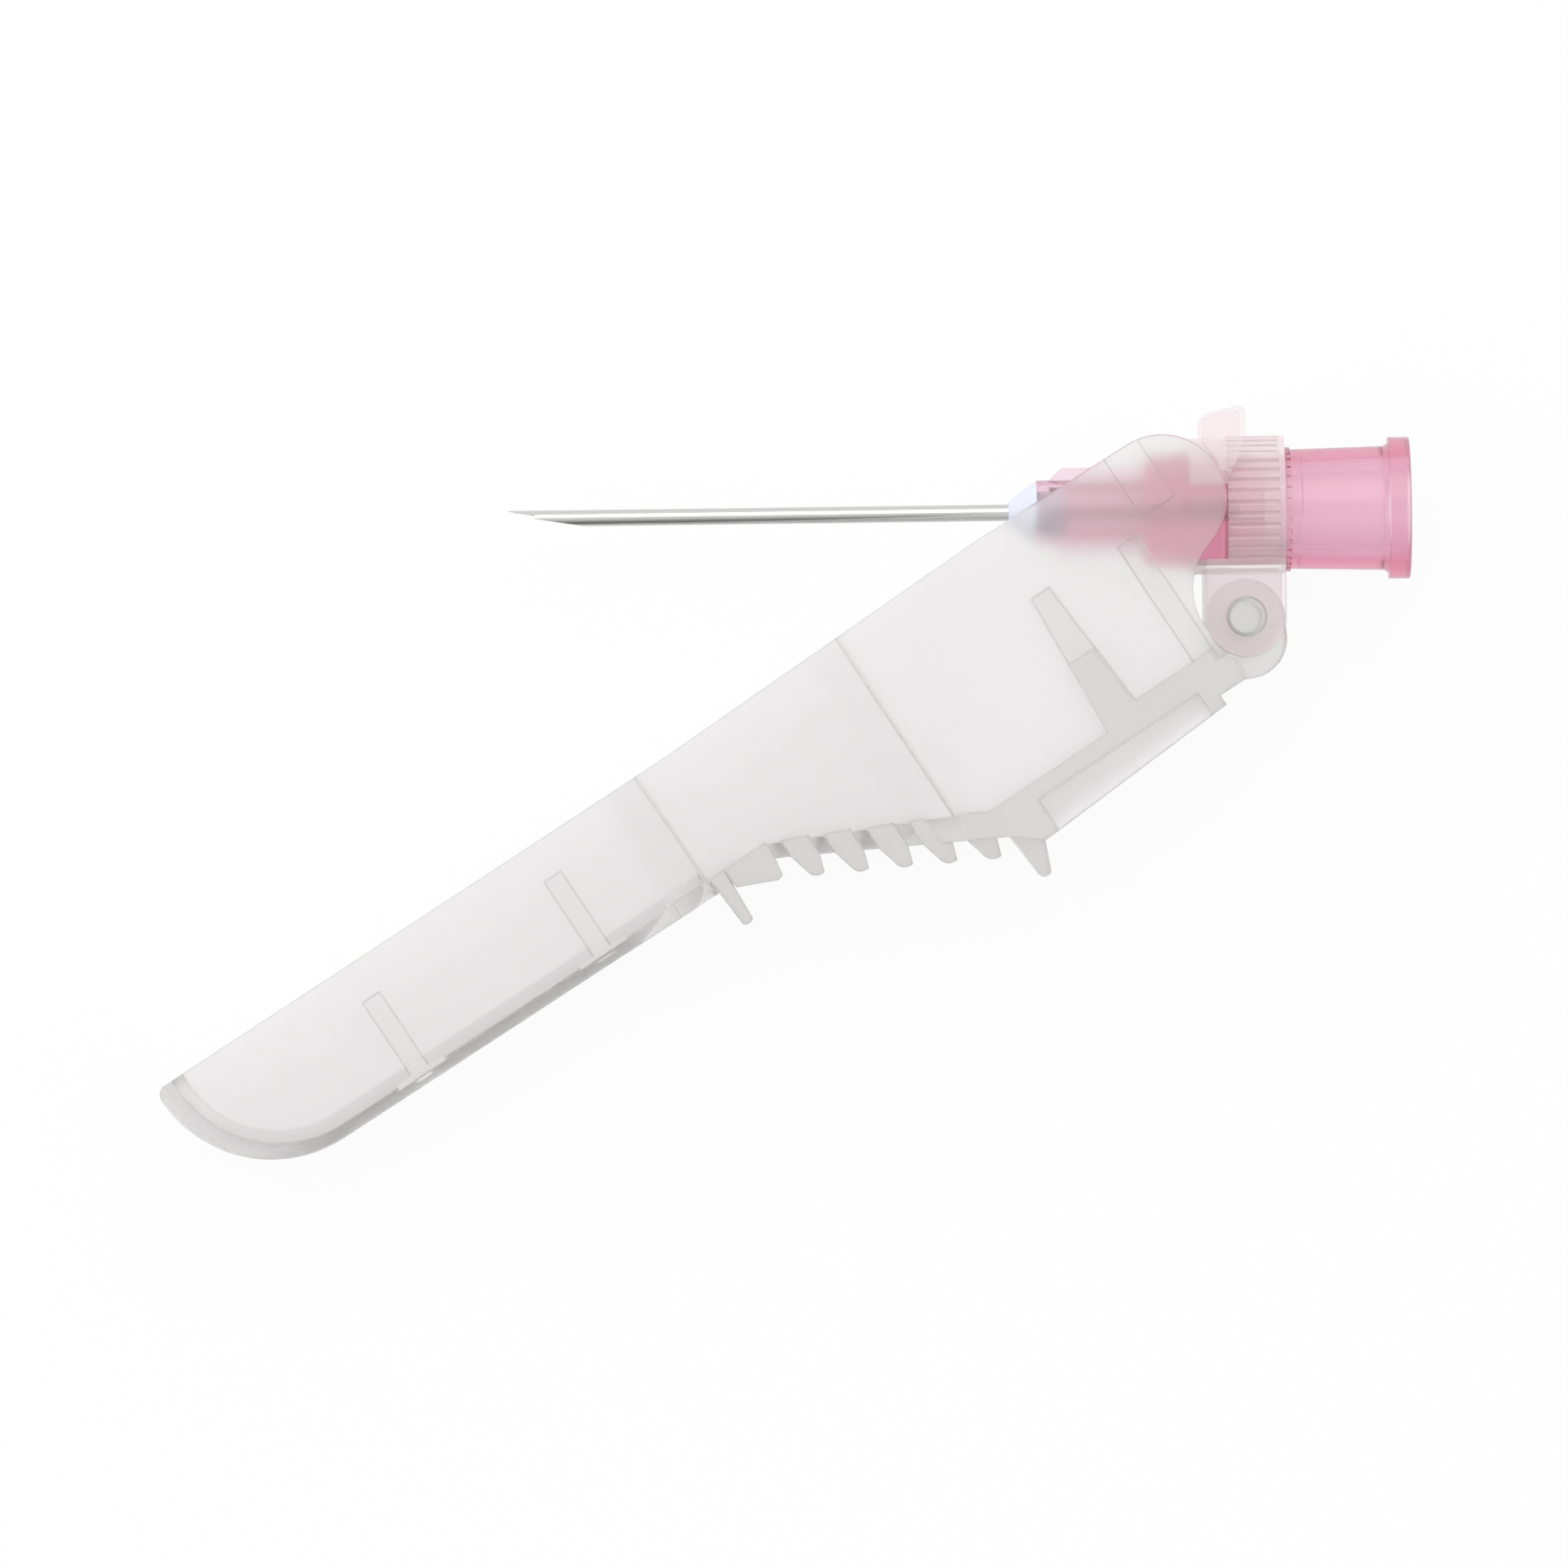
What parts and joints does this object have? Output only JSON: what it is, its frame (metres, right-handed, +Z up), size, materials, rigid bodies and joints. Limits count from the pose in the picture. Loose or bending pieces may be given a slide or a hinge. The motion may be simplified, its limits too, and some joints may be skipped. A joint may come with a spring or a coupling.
{
  "type": "safety hypodermic needle",
  "caption": "Hypodermic needle on a pink tapered hub, with a turning collar and a hinged frosted sheath that swings over the steel tube after use.",
  "frame": {"origin": "centre of the Luer socket's mouth, in the plane of the flange", "axes": "+X along the needle out of the socket's mouth, +Y away from the sheath's hinge, +Z up as the part lies on its side"},
  "size_m": [0.0688, 0.0405, 0.0104],
  "materials": {
    "pink_polypropylene": "moulded, translucent pink",
    "stainless_tube": "drawn and polished tube",
    "white_bond": "smooth white",
    "pink_clear_polypropylene": "moulded, clear with a pink tinge",
    "frosted_polypropylene": "moulded, frosted and translucent"
  },
  "bodies": {
    "needle": {"hub": "pink_polypropylene", "cannula": "stainless_tube", "nose_cone": "white_bond"},
    "collar": {"collar": "pink_clear_polypropylene"},
    "sheath": {"sheath": "frosted_polypropylene"}
  },
  "joints": [
    {"name": "collar_spin", "type": "hinge", "parent": "needle", "child": "collar", "pos_m": [-0.0095, 0, 0], "axis": [1, 0, 0], "continuous": true},
    {"name": "sheath_hinge", "type": "hinge", "parent": "collar", "child": "sheath", "pos_m": [-0.00909, -0.00591, 0], "axis": [0, 0, -1], "range_deg": [-85, 32.92]}
  ]
}
